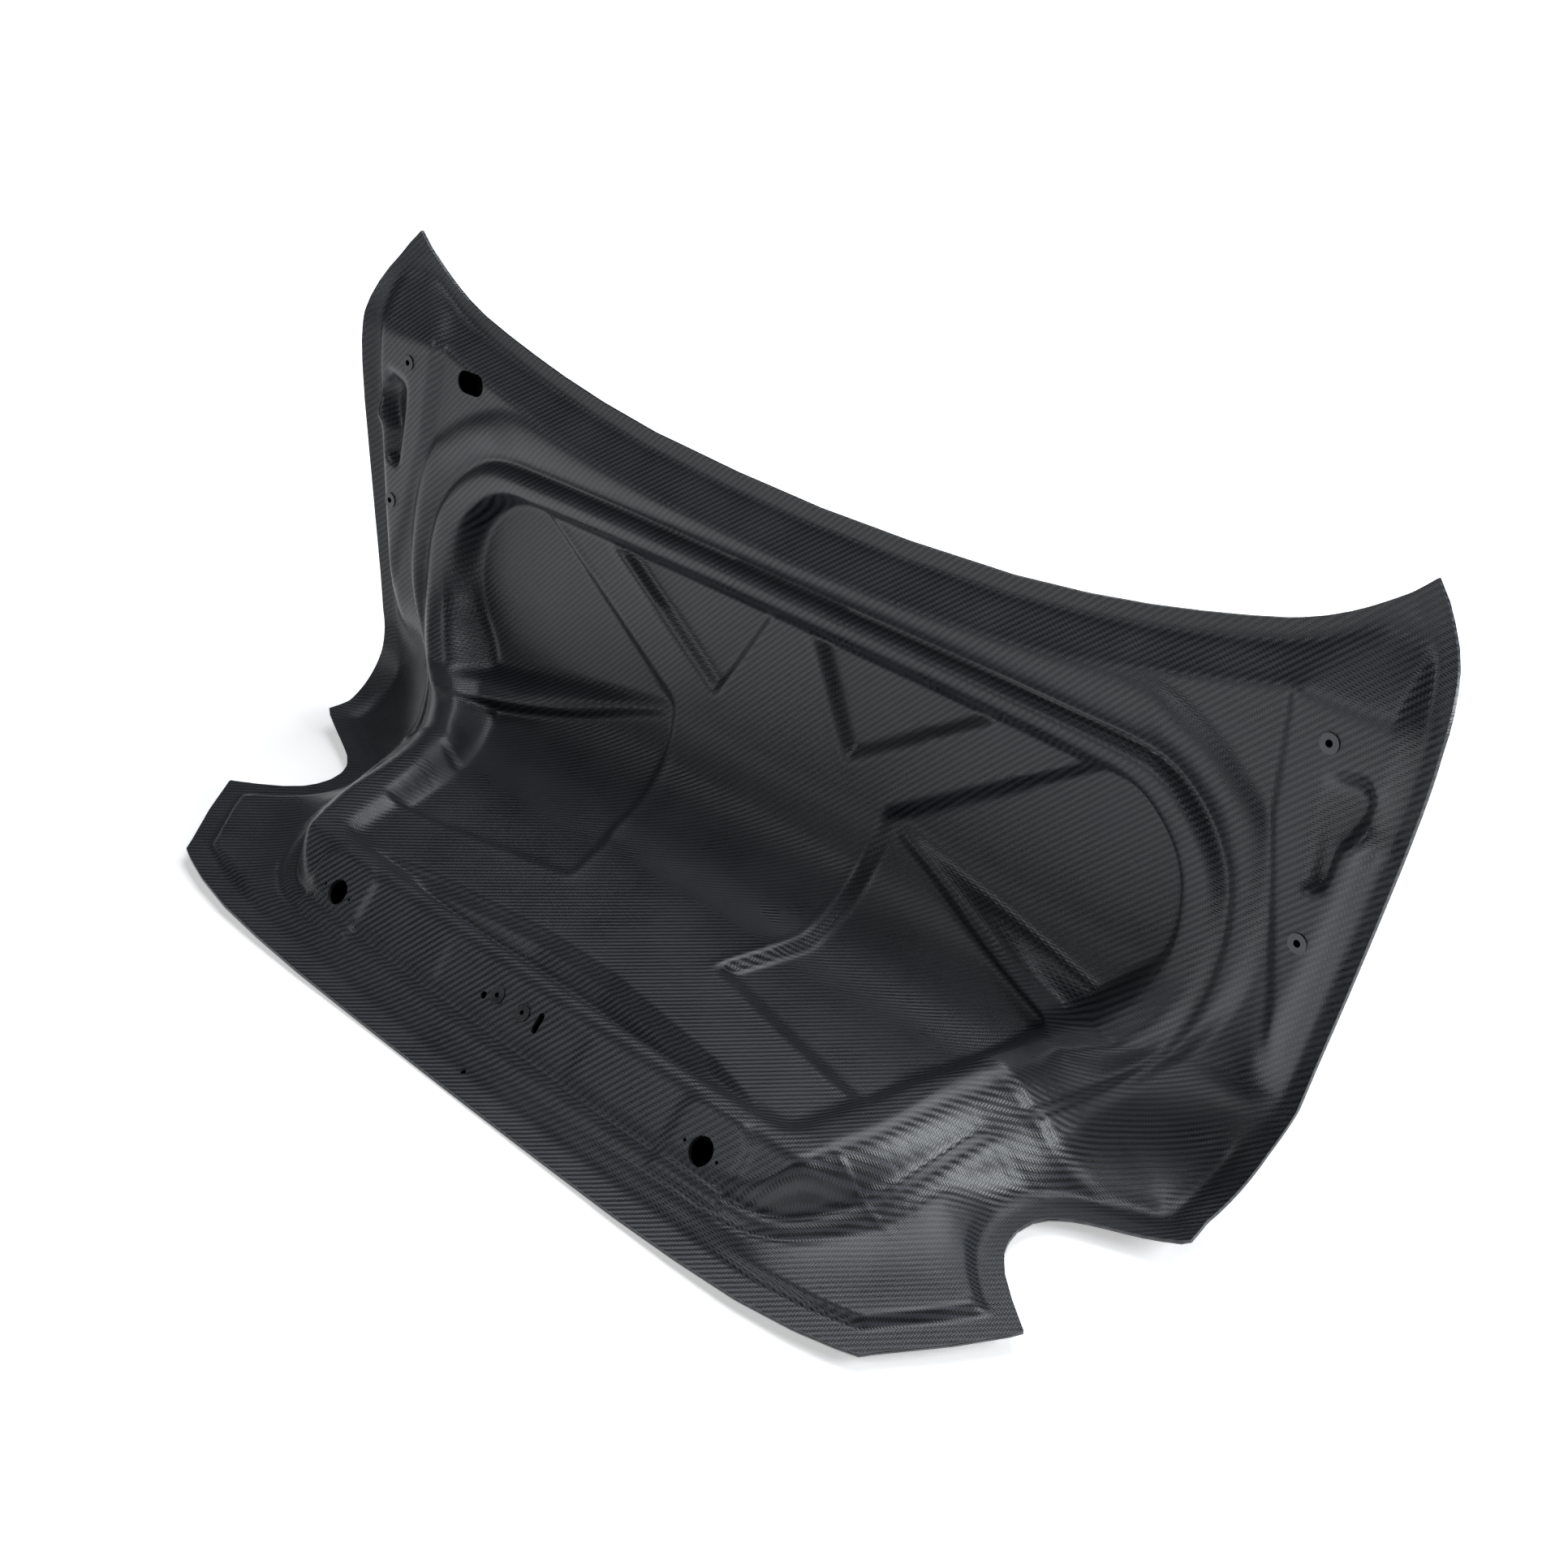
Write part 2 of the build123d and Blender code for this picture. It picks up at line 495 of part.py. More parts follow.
latch_bolts = [shifted(latch_seat(0), side * LATCH_PITCH / 2, 0) for side in (-1, 1)]
latch_holes = drill(shifted(latch_seat(0), LATCH_HOLE_X, -8), LATCH_HOLE_RADIUS)
latch_holes += stadium(shifted(latch_seat(0), LATCH_SLOT_X, 0), LATCH_SLOT_LENGTH, LATCH_SLOT_WIDTH, 90)
plate = backing(latch_seat(0), LATCH_PLATE_WIDTH, LATCH_PLATE_LENGTH, PLATE_CORNER) - latch_holes
inner_panel -= latch_holes
for bolt in latch_bolts:
    plate -= drill(bolt, INSERT_BARREL + INSERT_FIT)
    inner_panel -= drill(bolt, INSERT_BARREL + INSERT_FIT)
fittings["latch_plate"] = [plate]
fittings["latch_inserts"] = [insert(bolt, THREAD_M6_RADIUS) for bolt in latch_bolts]

inner_panel -= stadium(deck_seat(WIRE_HOLE_X, WIRE_HOLE_U), WIRE_HOLE_LENGTH, WIRE_HOLE_WIDTH)
inner_panel -= Pos(0, LIP_Y + DRAIN_FROM_LIP, 0) * Cylinder(DRAIN_RADIUS, FLANGE_TOP * 4)
export_step(inner_panel.solid(), "parts/inner_panel.step")

bond = carry(SKIN_PATH, SKIN_WALL, PANEL_FOOT)
bond = bond & (lid_region(BOND_INSET) - lid_region(BOND_INSET + BOND_WIDTH))
fittings["perimeter_bond"] = bond.solids()

spots = Part()
for side in (-1, 1):
    for x, u in MASTIC_SPOTS:
        spots += deck_plane(u) * Pos(side * x, 0, 0) * Cylinder(MASTIC_RADIUS, REACH / 4)
spots &= carry(SKIN_PATH, SKIN_WALL, FLOOR_OFFSET)
spots -= carry(FLOOR_PATH, -PANEL_WALL, FLOOR_OFFSET, PANEL_HALF)
fittings["mastic_spots"] = spots.solids()

for name, solids in fittings.items():
    solids = [solid for piece in solids for solid in piece.solids()]
    export_step(solids[0] if len(solids) == 1 else Compound(children=solids), f"parts/{name}.step")
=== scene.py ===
import json
import math

import bmesh
import bpy
import numpy as np
from bpy.props import FloatProperty, FloatVectorProperty, PointerProperty
from mathutils import Matrix, Vector


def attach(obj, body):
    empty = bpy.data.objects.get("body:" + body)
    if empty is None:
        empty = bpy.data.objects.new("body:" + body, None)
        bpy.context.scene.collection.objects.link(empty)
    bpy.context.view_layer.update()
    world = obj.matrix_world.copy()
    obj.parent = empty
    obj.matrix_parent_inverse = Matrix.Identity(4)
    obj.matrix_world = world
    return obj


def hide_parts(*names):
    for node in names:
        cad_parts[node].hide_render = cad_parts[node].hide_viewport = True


bl_info = {
    "name": "Carbon boot lid",
    "version": (1, 0, 0),
    "blender": (4, 5, 0),
    "location": "View3D > Sidebar > Boot lid",
    "description": "Builds the pressed carbon shells of a boot lid around its packed CAD frame",
    "category": "Object",
}

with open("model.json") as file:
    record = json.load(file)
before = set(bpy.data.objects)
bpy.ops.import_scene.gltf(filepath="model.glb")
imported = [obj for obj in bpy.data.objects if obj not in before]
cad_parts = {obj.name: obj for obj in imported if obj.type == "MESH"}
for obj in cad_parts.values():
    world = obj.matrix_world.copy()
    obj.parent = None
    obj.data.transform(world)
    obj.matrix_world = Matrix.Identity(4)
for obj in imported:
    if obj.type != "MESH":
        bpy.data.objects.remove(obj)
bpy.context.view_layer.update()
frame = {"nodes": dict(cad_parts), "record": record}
MM = 0.001

# ---- side profile of the lid in millimetres: deck, bend and rear face ----
DECK, REAR, LEAN = 450.0, 440.0, math.radians(11.0)
LIP_Y = -264.5
CORNER_Y = LIP_Y + REAR
TURN = math.pi / 2 - LEAN
WIDE_BEND, TIGHT_BEND = 144.0, 76.0
CROWN, SHOULDER_START, SHOULDER = 10000.0, 590.0, 210.0
FLANGE = 4.4          # panel's flange above the outer face
LID_LENGTH = 851.0    # developed length from the front edge to the lip
INSERT_BORE, LATCH_WIDTH, LATCH_SLOT = 12.3, 8.0, 22.0
STOP_BORE, SCREW_BORE, SCREW_OFFSET, DRAIN_BORE = 28.0, 3.8, 21.0, 6.0


def ramp(low, high, value):
    """0 below low, 1 above high, smooth between."""
    t = np.clip((value - low) / (high - low), 0, 1)
    return t * t * (3 - 2 * t)


def table(points, value):
    """Straight runs through (place, height) points."""
    return np.interp(value, [p[0] for p in points], [p[1] for p in points])


def flowing(points, value, blur=12):
    """The same as table, with its corners blurred into curves."""
    places = np.arange(-200.0, 901.0, 2.0)
    weights = np.exp(-np.linspace(-2.5, 2.5, 2 * blur + 1) ** 2)
    heights = np.convolve(np.pad(table(points, places), blur, "edge"), weights / weights.sum(), "valid")
    return np.interp(value, places, heights)


def eased(half, rounds=3):
    """Cuts a chain's corners again and again, so that it bends smoothly; its ends stay."""
    for _ in range(rounds):
        cut = [half[0]]
        for (ax, ay), (bx, by) in zip(half, half[1:]):
            cut += [(0.75 * ax + 0.25 * bx, 0.75 * ay + 0.25 * by),
                    (0.25 * ax + 0.75 * bx, 0.25 * ay + 0.75 * by)]
        half = cut + [half[-1]]
    return half


def softened(height, passes=2):
    """Blurs a grid of heights a little, so that no pressed edge is sharper than cloth allows."""
    for _ in range(passes):
        for axis in (0, 1):
            pad = [(1, 1) if k == axis else (0, 0) for k in (0, 1)]
            wide = np.pad(height, pad, "edge")
            low, high = (wide[:-2], wide[2:]) if axis == 0 else (wide[:, :-2], wide[:, 2:])
            height = height * 0.5 + (low + high) * 0.25
    return height


def rounded(t):
    """Quick rise that rounds off at the top, as over a bead's shoulder."""
    return np.sin(np.clip(t, 0, 1) * math.pi / 2)


def rise(x, s):
    """How far the crown and the rolled shoulder lift the lid inwards at half width x."""
    a = np.abs(x)
    crown = CROWN - np.sqrt(CROWN ** 2 - a ** 2)
    start = math.asin(SHOULDER_START / CROWN)
    reach = np.clip(a - (CROWN - SHOULDER) * math.sin(start), 0, SHOULDER * 0.95)
    rolled = CROWN - (CROWN - SHOULDER) * math.cos(start) - np.sqrt(SHOULDER ** 2 - reach ** 2)
    roll = np.where(a > SHOULDER_START, rolled - crown, 0)
    return crown + roll * (0.25 + 0.75 * ramp(-150, -20, s))


def bend_ends(radius):
    """Developed lengths at which a bend of this radius starts and ends."""
    start = DECK - radius * math.tan(TURN / 2)
    return start, start + radius * TURN


def lay(x, s, h, radius=WIDE_BEND):
    """Points at width x and developed length s, h above the outer face, in millimetres."""
    start, end = bend_ends(radius)
    angle = np.clip((s - start) / radius, 0, TURN)
    down = np.minimum(s, start)
    front = np.array([CORNER_Y + DECK * math.sin(LEAN), DECK * math.cos(LEAN)])
    y = front[0] - down * math.sin(LEAN)
    z = front[1] - down * math.cos(LEAN)
    normal_y, normal_z = -np.cos(LEAN + angle), np.sin(LEAN + angle)
    y = y + radius * (-math.cos(LEAN) - normal_y)
    z = z + radius * (math.sin(LEAN) - normal_z)
    y = y - np.maximum(s - end, 0)
    lift = h + rise(x, s)
    return np.stack([x, y + normal_y * lift, z + normal_z * lift], -1)


def lay_skin(x, s, h):
    """The outer skin: a tight bend in the middle that opens out towards the sides."""
    start, end = bend_ends(WIDE_BEND)
    tight_start, tight_end = bend_ends(TIGHT_BEND)
    length = LIP_Y - CORNER_Y + TIGHT_BEND * math.tan(TURN / 2)
    whole = end + REAR - WIDE_BEND * math.tan(TURN / 2)
    tight_whole = tight_end - length
    mapped = np.interp(s, [-400, start - 60, end + 60, whole],
                       [-400, start - 60, end + 60 + tight_whole - whole, tight_whole])
    share = ramp(540, 655, np.abs(x))[..., None]
    return lay(x, mapped, h, TIGHT_BEND) * (1 - share) + lay(x, s, h) * share


# ---- outline of the lid and of its pressed shapes, right half, as (half width, developed length) ----
SIDE = [(-144, 650), (-127, 666), (-110, 678), (-94, 689), (-76, 697), (-58, 702), (-39, 705), (-5, 705.5),
        (23, 704), (68, 700), (137, 692), (210, 683), (286, 673), (337, 667), (400, 656), (450, 650),
        (505, 643), (541, 646), (566, 581), (577, 555), (590, 536), (604, 527), (622, 524), (638, 527),
        (653, 534), (671, 550), (690, 573), (711, 602), (760, 567), (808, 527), (820, 518), (851, 500)]
FRONT = [(0, 0), (120, -3), (248, -11), (332, -22), (397, -34), (449, -46), (495, -58), (535, -70),
         (566, -83), (602, -104), (628, -123), (650, -144)]
LIP = [(0, 851), (250, 851), (330, 849), (400, 845), (460, 836), (500, 826), (518, 820)]
GROOVE = [(0, 76), (430, 74), (476, 80), (513, 103), (539, 129), (556, 155), (564, 182), (568, 210),
          (567, 250), (560, 292), (535, 352), (498, 449), (468, 538), (449, 594), (440, 641), (430, 687),
          (411, 725), (377, 765), (340, 783), (290, 789), (0, 789)]
BAND = [(0, 48), (200, 42), (330, 28), (400, 16), (453, 17), (487, 29), (516, 42), (537, 56), (557, 70),
        (573, 84), (588, 110), (597, 150), (600, 200), (595, 250), (580, 290), (558, 330), (534, 392),
        (510, 460), (490, 526), (474, 590), (462, 650), (450, 700), (425, 748), (390, 786), (330, 806), (0, 810)]
RIM = [(0, 106), (410, 104), (454, 112), (486, 134), (507, 158), (519, 185), (525, 226), (522, 262),
       (507, 294), (480, 330), (450, 390), (420, 496), (404, 550), (393, 585), (382, 620), (372, 653),
       (363, 685), (354, 712), (340, 726), (320, 729), (0, 729)]
PAD = [(567, -30), (579, 84), (600, 160), (622, 240), (632, 300), (700, 330), (720, -30), (690, -110), (600, -110)]
PRESS = [(616, 26), (655, 20), (668, 36), (664, 64), (650, 88), (647, 124), (626, 134), (617, 60)]
SMALL_HOLLOW = [(275, 121), (30, 121), (97, 236)]
LARGE_HOLLOW = [(414, 104), (158, 272), (151, 330), (147, 475), (134, 530), (115, 588), (264, 622),
                (400, 652), (600, 560), (600, 60), (440, 60)]
BAR = [(470, 338), (176, 281), (172, 286), (176, 291), (446, 402), (520, 380)]
CHEVRON = [(0, 669), (53, 670), (211, 690), (322, 717), (420, 742), (420, 900), (0, 900)]
STOP_PAD = [(238, 748), (258, 738), (306, 738), (328, 752), (328, 799), (238, 799)]
LATCH_PAD = [(0, 751), (108, 751), (104, 786), (0, 786)]

CREST = [(-200, 40), (150, 40), (226, 44), (261, 48), (294, 57), (323, 70), (360, 82), (400, 87), (496, 85),
         (550, 80), (620, 77), (700, 75), (736, 75), (741, 74), (746, 71), (789, 29), (796, 24), (826, 8), (860, 4)]
GROOVE_HEIGHT = [(-200, 27), (103, 27), (155, 32), (182, 35), (240, 38), (292, 43), (352, 52), (449, 56),
                 (538, 52), (594, 49), (641, 43), (687, 36), (725, 27), (765, 21), (789, 25)]
BAND_HEIGHT = [(-200, 32), (84, 32), (200, 33), (325, 40), (388, 46), (456, 46), (522, 40), (600, 30),
               (700, 17), (789, 12), (810, 11)]
SHOULDER_WIDTH = [(-200, 15), (180, 16), (292, 24), (352, 40), (449, 48), (600, 44), (700, 36), (745, 18), (789, 6)]
WALL_WIDTH = [(-200, 15), (226, 18), (323, 28), (390, 40), (600, 36), (717, 24)]


def closed(half):
    """Mirrors a right-hand chain into a closed polygon."""
    return [(x, s) for x, s in half] + [(-x, s) for x, s in reversed(half) if x > 0]


def inside_distance(polygon, x, s):
    """Distance to a closed polygon, positive inside and negative outside."""
    best = np.full(x.shape, 1e12)
    inside = np.zeros(x.shape, bool)
    for (ax, ay), (bx, by) in zip(polygon, polygon[1:] + polygon[:1]):
        dx, dy = bx - ax, by - ay
        t = np.clip(((x - ax) * dx + (s - ay) * dy) / max(dx * dx + dy * dy, 1e-9), 0, 1)
        best = np.minimum(best, (x - ax - t * dx) ** 2 + (s - ay - t * dy) ** 2)
        if ay != by:
            crosses = (ay > s) != (by > s)
            inside ^= crosses & (x < dx * (s - ay) / dy + ax)
    return np.where(inside, 1, -1) * np.sqrt(best)


def outline():
    """The lid's right-hand edge from the middle of the front to the middle of the lip."""
    return FRONT[:-1] + [(x, s) for s, x in SIDE if s < 820] + LIP[::-1]


def recess_floor(s):
    """Height of the recess floor, which follows the deck, turns on a wide radius and runs level."""
    offset, radius, level = 6.0, 150.0, 55.0
    fine = np.linspace(-200, 900, 2200)
    at = lay(np.zeros_like(fine), fine, 0.0)[:, 1:]
    up = lay(np.zeros_like(fine), fine, 1.0)[:, 1:] - at
    deck_in = np.array([-math.cos(LEAN), math.sin(LEAN)])
    deck_down = np.array([-math.sin(LEAN), -math.cos(LEAN)])
    corner = np.array([CORNER_Y, 0.0]) + deck_in * offset
    corner = corner + deck_down * ((corner[1] - level) / math.cos(LEAN))
    centre = corner - deck_down * radius * math.tan(TURN / 2) + deck_in * radius
    ray = at - centre
    along = (ray * up).sum(1)
    arc = -along - np.sqrt(np.maximum(along ** 2 - (ray ** 2).sum(1) + radius ** 2, 0))
    flat = (level - at[:, 1]) / np.maximum(up[:, 1], 0.05)
    hit = at + up * arc[:, None]
    on_deck = ((hit - centre) * deck_down).sum(1) < 0
    height = np.where(on_deck, offset, np.where(hit[:, 0] < centre[0], flat, arc))
    return np.interp(s, fine, height)


def pressing(x, s):
    """Height of the inner panel's pressed surface above the outer face."""
    a = np.abs(x)
    edge = inside_distance(closed(outline()), a, s)
    groove = inside_distance(closed(eased(GROOVE)), a, s)
    band = inside_distance(closed(eased(BAND)), a, s)
    rim = inside_distance(closed(eased(RIM)), a, s)

    # flange, sloped facet and the plateau behind it
    side = ramp(600, 680, a) * ramp(-70, -20, s)
    facet = np.clip((edge - 20) / (28 - 12 * side), 0, 1)
    plateau = FLANGE + 29 * facet
    shoulder = rise(x, s) - (CROWN - np.sqrt(CROWN ** 2 - a ** 2))
    pad_top = np.clip((s + 95) / 64, 0, 1)
    pad_height = FLANGE + (42 - FLANGE - shoulder) * np.minimum(pad_top, facet)
    pad = inside_distance(PAD, a, s)
    front = plateau + (pad_height - plateau) * ramp(-3, 6, pad)
    front -= 3.0 * np.exp(-(pad / 4.0) ** 2) * ramp(0.6, 1.0, facet) * ramp(-40, -10, s)
    press = inside_distance(PRESS, a, s)
    depth = 20 * ramp(0, 9, press) * (0.25 + 0.75 * ramp(612, 650, a))
    front -= depth
    boss = np.hypot(a - 668, (s - 74) * 0.8)
    front += 9 * np.exp(-(boss / 9) ** 2)

    # flap and wing, which swoop up to the ring
    reach = np.maximum(edge - 18, 0)
    share = reach / np.maximum(reach + np.maximum(-band, 0), 1e-6)
    rear = FLANGE + (flowing(BAND_HEIGHT, s) - FLANGE) * share ** 1.7
    wing = ramp(600, 680, s) * (1 - ramp(800, 825, s) * (1 - ramp(300, 420, a)))
    rear += 8 * ramp(24, 33, edge) * wing * (1 - 0.75 * ramp(0, 90, edge - 33))
    flap = ramp(380, 430, s) * (1 - ramp(575, 600, s))
    rear -= 4 * np.exp(-((edge - 32) / 9) ** 2) * flap
    outer = front + (rear - front) * ramp(285, 380, s)

    # rounded band between the two grooves
    width = np.maximum(band - groove, 6.0)
    across = np.clip(band / width, 0, 1)
    low, high = flowing(BAND_HEIGHT, s), flowing(GROOVE_HEIGHT, s)
    bulge = 10.5 - 5.0 * ramp(260, 360, s)
    strip = low + (high - low) * across + bulge * np.sin(across * math.pi) ** 0.55
    middle = (1 - ramp(430, 470, a)) * (1 - ramp(60, 120, s))
    strip = strip - 3.0 * middle * np.sin(across * math.pi)
    mixed = outer + (strip - outer) * ramp(-1.5, 1.5, band)

    # ring bead and its crest
    crest = np.where(s > 715, table(CREST, s), flowing(CREST, s))
    bead = high + (crest - high) * rounded(groove / flowing(SHOULDER_WIDTH, s))
    over = np.clip(groove / np.maximum(groove + np.maximum(-rim, 0), 1), 0, 1)
    bead += 2.0 * np.sin(over * math.pi) * (1 - ramp(700, 730, s))
    bead -= 3.0 * np.exp(-(groove / 3.5) ** 2) * (1 - ramp(760, 789, s))
    ring = mixed + (bead - mixed) * ramp(-0.5, 1.5, groove)

    # recess: floor, star web, bars and the trough behind the ridge
    floor = recess_floor(s)
    large = inside_distance(LARGE_HOLLOW, a, s)
    small = inside_distance(SMALL_HOLLOW, a, s)
    web = floor + 11 * (1 - ramp(-1, 6, np.maximum(large, small)))
    web += 1.5 * np.exp(-((np.maximum(large, small) + 4) / 4.0) ** 2)
    bar = inside_distance(BAR, a, s)
    grow = ramp(172, 470, a)
    web += (7 + 22 * grow) * ramp(0, 5 + 7 * grow, bar)
    chevron = inside_distance(closed(CHEVRON), a, s)
    web -= 7 * ramp(0, 7, chevron) + 16 * ramp(10, 30, chevron)
    wall = ramp(0, 1, rim / flowing(WALL_WIDTH, s))
    height = np.where(rim > 0, crest + (web - crest) * wall, ring)

    # pads on the latch face
    stop = inside_distance(STOP_PAD, a, s)
    height += 3.0 * ramp(0, 3, stop)
    latch = inside_distance(closed(LATCH_PAD), x, s)
    height -= 1.2 * ramp(0, 2.5, latch)
    return height


# ---- meshes ----
def spaced(zones):
    """Places along a length, from (start, end, spacing) zones."""
    places = [np.linspace(a, b, max(2, round((b - a) / step) + 1))[:-1] for a, b, step in zones]
    return np.append(np.concatenate(places), zones[-1][1])


def lid_grid(columns, rows):
    """Developed (x, s) places of a grid that follows the lid's edge.

    Columns are shares of the half width, from -1 to 1, and rows are lengths from 0 to LID_LENGTH."""
    side_s, side_x = [p[0] for p in SIDE], [p[1] for p in SIDE]
    front = sorted((x / np.interp(s, side_s, side_x), s) for x, s in FRONT)
    lip = sorted((x / np.interp(s, side_s, side_x), s) for x, s in LIP)
    share = np.abs(columns)[None, :]
    first, last = table(front, share), table(lip, share)
    rows = rows[:, None]
    s = rows + first * (1 - np.clip(rows / 76, 0, 1)) + (last - LID_LENGTH) * ramp(760, LID_LENGTH, rows)
    x = columns[None, :] * np.interp(s, side_s, side_x)
    return x, s


def grid_object(name, columns, rows, place):
    """A sheet of quads with one vertex per grid place, and its (x, s) place in millimetres as UV map."""
    mesh = bpy.data.meshes.new(name)
    shell = bmesh.new()
    bmesh.ops.create_grid(shell, x_segments=len(columns) - 1, y_segments=len(rows) - 1, size=1.0)
    shell.to_mesh(mesh)
    shell.free()
    flat = np.zeros(len(mesh.vertices) * 3)
    mesh.vertices.foreach_get("co", flat)
    flat = flat.reshape(-1, 3)
    column = np.rint((flat[:, 0] + 1) / 2 * (len(columns) - 1)).astype(int)
    row = np.rint((1 - flat[:, 1]) / 2 * (len(rows) - 1)).astype(int)
    x, s = lid_grid(columns, rows)
    mesh.vertices.foreach_set("co", (place(x, s)[row, column] * MM).ravel())
    x, s = x[row, column], s[row, column]
    loops = np.zeros(len(mesh.loops), int)
    mesh.loops.foreach_get("vertex_index", loops)
    uv = mesh.uv_layers.new(name="Weave")
    uv.data.foreach_set("uv", (np.stack([x, s], -1)[loops] * MM).ravel())
    mesh.polygons.foreach_set("use_smooth", np.ones(len(mesh.polygons), bool))
    mesh.update()
    piece = bpy.data.objects.new(name, mesh)
    bpy.context.scene.collection.objects.link(piece)
    return piece


def face_inwards(piece):
    """Turns the sheet's faces towards the lid's inner side."""
    mesh = piece.data
    middle = mesh.polygons[len(mesh.polygons) // 2]
    if middle.normal.dot(Vector((0, -1, 1))) < 0:
        mesh.flip_normals()
    mesh.update()


def thicken(piece, thickness):
    """Gives the sheet its wall with Solidify, and keeps the cut edges crisp."""
    face_inwards(piece)
    wall = piece.modifiers.new("Wall", "SOLIDIFY")
    wall.thickness = thickness * MM
    wall.offset = -1.0
    wall.use_even_offset = False
    apply_modifiers(piece)
    piece.data.set_sharp_from_angle(angle=math.radians(55))


def apply_modifiers(piece):
    depsgraph = bpy.context.evaluated_depsgraph_get()
    mesh = bpy.data.meshes.new_from_object(piece.evaluated_get(depsgraph))
    old = piece.data
    piece.modifiers.clear()
    piece.data = mesh
    bpy.data.meshes.remove(old)


def slot_outline(length, width, steps=20):
    """Points round a slot, or round a circle where length and width are the same."""
    straight = (length - width) / 2
    ring = []
    for side in (1, -1):
        for k in range(steps + 1):
            angle = math.pi * k / steps - math.pi / 2 + (0 if side > 0 else math.pi)
            point = (side * straight + width / 2 * math.cos(angle), width / 2 * math.sin(angle))
            if not ring or math.dist(point, ring[-1]) > 1e-4:
                ring.append(point)
    if math.dist(ring[0], ring[-1]) < 1e-4:
        ring.pop()
    return ring


def prism(shell, ring, place, low, high):
    """Closed block over a ring of points, from low to high along the placing matrix's z."""
    under = [shell.verts.new(place @ Vector((x * MM, y * MM, low * MM))) for x, y in ring]
    over = [shell.verts.new(place @ Vector((x * MM, y * MM, high * MM))) for x, y in ring]
    shell.faces.new(under[::-1])
    shell.faces.new(over)
    for i in range(len(ring)):
        j = (i + 1) % len(ring)
        shell.faces.new((under[i], under[j], over[j], over[i]))


def axis_matrix(point, axis, x_dir=(1, 0, 0)):
    """Matrix in metres at a point with z along the axis."""
    z = Vector(axis).normalized()
    x = (Vector(x_dir) - z * Vector(x_dir).dot(z)).normalized()
    return Matrix.Translation(Vector(point)) @ Matrix((x, z.cross(x), z)).transposed().to_4x4()


def surface_matrix(x, s, h):
    """Matrix in metres on the lid's developed surface."""
    point, above = (Vector(lay(np.array(float(x)), np.array(float(s)), height)) for height in (h, h + 1.0))
    return axis_matrix(point * MM, above - point)


def mount(name):
    """Matrix on one of the record's mounts."""
    entry = next(m for m in frame["record"]["mounts"] if m["name"] == name)
    return entry, axis_matrix(entry["pos_m"], entry["axis"])


def insert_places(node, name):
    """Matrices on the two inserts of a CAD node, from where their meshes lie."""
    entry, _ = mount(name)
    points = np.array([tuple(v.co) for v in frame["nodes"][node].data.vertices])
    spread = points.max(0) - points.min(0)
    along = points[:, int(spread.argmax())]
    middle = (along.max() + along.min()) / 2
    ends = (points[along <= middle], points[along > middle])
    return [axis_matrix((end.min(0) + end.max(0)) / 2, entry["axis"]) for end in ends]


def bored(piece, cutters):
    """Cuts holes: each cutter is (matrix, length, width, depth) in millimetres about its matrix."""
    mesh = bpy.data.meshes.new("cutters")
    shell = bmesh.new()
    for place, length, width, depth in cutters:
        prism(shell, slot_outline(length, width), place, -depth, depth)
    bmesh.ops.recalc_face_normals(shell, faces=shell.faces)
    shell.to_mesh(mesh)
    shell.free()
    tool = bpy.data.objects.new("cutters", mesh)
    bpy.context.scene.collection.objects.link(tool)
    cut = piece.modifiers.new("Holes", "BOOLEAN")
    cut.operation = "DIFFERENCE"
    cut.solver = "MANIFOLD"
    cut.object = tool
    apply_modifiers(piece)
    bpy.data.objects.remove(tool)
    bpy.data.meshes.remove(mesh)
    piece.data.set_sharp_from_angle(angle=math.radians(55))


def doubler(name, places, length, width, depth, bore):
    """Small rounded steel plates with a bore, one at each place, joined in one piece."""
    shell = bmesh.new()
    for place in places:
        outer = []
        for k in range(64):
            angle = 2 * math.pi * (k + 0.5) / 64
            c, n = math.cos(angle), math.sin(angle)
            outer.append((math.copysign(length / 2 * abs(c) ** 0.35, c),
                          math.copysign(width / 2 * abs(n) ** 0.35, n)))
        angles = [2 * math.pi * (k + 0.5) / 64 for k in range(64)]
        inner = [(bore * math.cos(angle), bore * math.sin(angle)) for angle in angles]
        rings = [[shell.verts.new(place @ Vector((x * MM, y * MM, z * MM))) for x, y in ring]
                 for ring, z in ((outer, -depth), (outer, 0), (inner, 0), (inner, -depth))]
        for a, b in zip(rings, rings[1:] + rings[:1]):
            for i in range(64):
                j = (i + 1) % 64
                shell.faces.new((a[i], a[j], b[j], b[i]))
    bmesh.ops.recalc_face_normals(shell, faces=shell.faces)
    mesh = bpy.data.meshes.new(name)
    shell.to_mesh(mesh)
    shell.free()
    piece = bpy.data.objects.new(name, mesh)
    bpy.context.scene.collection.objects.link(piece)
    edge = piece.modifiers.new("Edge", "BEVEL")
    edge.width = 0.5 * MM
    edge.segments = 2
    apply_modifiers(piece)
    return piece


